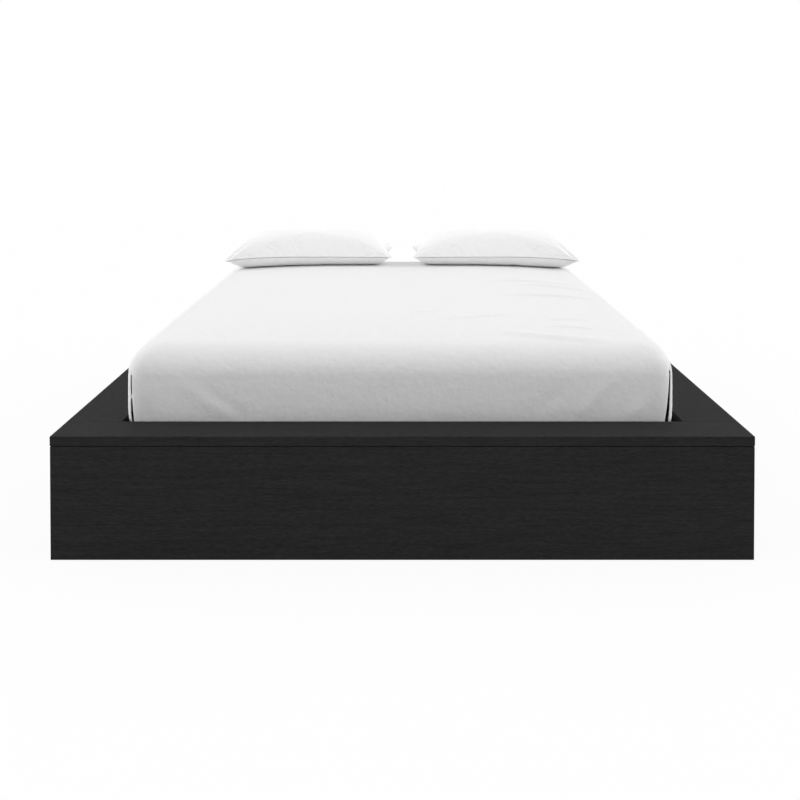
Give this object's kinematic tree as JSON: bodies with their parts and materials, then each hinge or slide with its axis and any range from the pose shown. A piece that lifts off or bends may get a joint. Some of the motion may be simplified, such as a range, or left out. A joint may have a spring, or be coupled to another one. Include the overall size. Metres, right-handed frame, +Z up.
{
  "type": "platform bed",
  "caption": "Low platform bed with a wide flat ledge round a recessed mattress, dressed with a tucked white sheet and flat-laid pillows.",
  "frame": {"origin": "on the floor, under the centre of the bed's outline", "axes": "+X to the right as seen from the foot end, +Y from the foot to the head, +Z up"},
  "size_m": [1.8706, 2.3786, 0.7042],
  "materials": {
    "black_oak": "satin",
    "pine": "matte",
    "zinc_steel": "satin",
    "glide_plastic": "matte",
    "webbing": "matte",
    "ticking": "matte",
    "white_cotton": "matte"
  },
  "bodies": {
    "frame": {"foot_panel": "black_oak", "head_panel": "black_oak", "left_side_panel": "black_oak", "right_side_panel": "black_oak", "foot_ledge": "black_oak", "head_ledge": "black_oak", "left_ledge": "black_oak", "right_ledge": "black_oak", "foot_inner_rail": "black_oak", "head_inner_rail": "black_oak", "left_inner_rail": "black_oak", "right_inner_rail": "black_oak", "foot_left_post": "pine", "foot_right_post": "pine", "head_left_post": "pine", "head_right_post": "pine", "foot_left_glide": "glide_plastic", "foot_right_glide": "glide_plastic", "head_left_glide": "glide_plastic", "head_right_glide": "glide_plastic", "foot_left_bolt_1": "zinc_steel", "foot_left_bolt_2": "zinc_steel", "foot_right_bolt_1": "zinc_steel", "foot_right_bolt_2": "zinc_steel", "head_left_bolt_1": "zinc_steel", "head_left_bolt_2": "zinc_steel", "head_right_bolt_1": "zinc_steel", "head_right_bolt_2": "zinc_steel", "left_web": "pine", "right_web": "pine", "left_cleat": "pine", "right_cleat": "pine", "slat_01": "pine", "slat_02": "pine", "slat_03": "pine", "slat_04": "pine", "slat_05": "pine", "slat_06": "pine", "slat_07": "pine", "slat_08": "pine", "slat_09": "pine", "slat_10": "pine", "slat_11": "pine", "slat_12": "pine", "slat_13": "pine", "left_strap": "webbing", "right_strap": "webbing", "centre_rail": "pine", "foot_hanger": "zinc_steel", "head_hanger": "zinc_steel", "leg_1": "pine", "leg_2": "pine", "leg_3": "pine"},
    "leveller_1": {"leveller_1": "zinc_steel"},
    "leveller_2": {"leveller_2": "zinc_steel"},
    "leveller_3": {"leveller_3": "zinc_steel"},
    "mattress": {"mattress": "ticking", "bed_sheet": "white_cotton"},
    "pillow_left": {"pillow_left": "white_cotton"},
    "pillow_right": {"pillow_right": "white_cotton"}
  },
  "joints": [
    {"name": "mattress_lift", "type": "slide", "parent": "frame", "child": "mattress", "axis": [0, 0, 1], "range_m": [0, 0.3]},
    {"name": "pillow_left_lift", "type": "slide", "parent": "mattress", "child": "pillow_left", "axis": [0, 0, 1], "range_m": [0, 0.25]},
    {"name": "pillow_right_lift", "type": "slide", "parent": "mattress", "child": "pillow_right", "axis": [0, 0, 1], "range_m": [0, 0.25]},
    {"name": "leveller_1_screw", "type": "slide", "parent": "frame", "child": "leveller_1", "axis": [0, 0, -1], "range_m": [0, 0.015]},
    {"name": "leveller_2_screw", "type": "slide", "parent": "frame", "child": "leveller_2", "axis": [0, 0, -1], "range_m": [0, 0.015]},
    {"name": "leveller_3_screw", "type": "slide", "parent": "frame", "child": "leveller_3", "axis": [0, 0, -1], "range_m": [0, 0.015]}
  ]
}
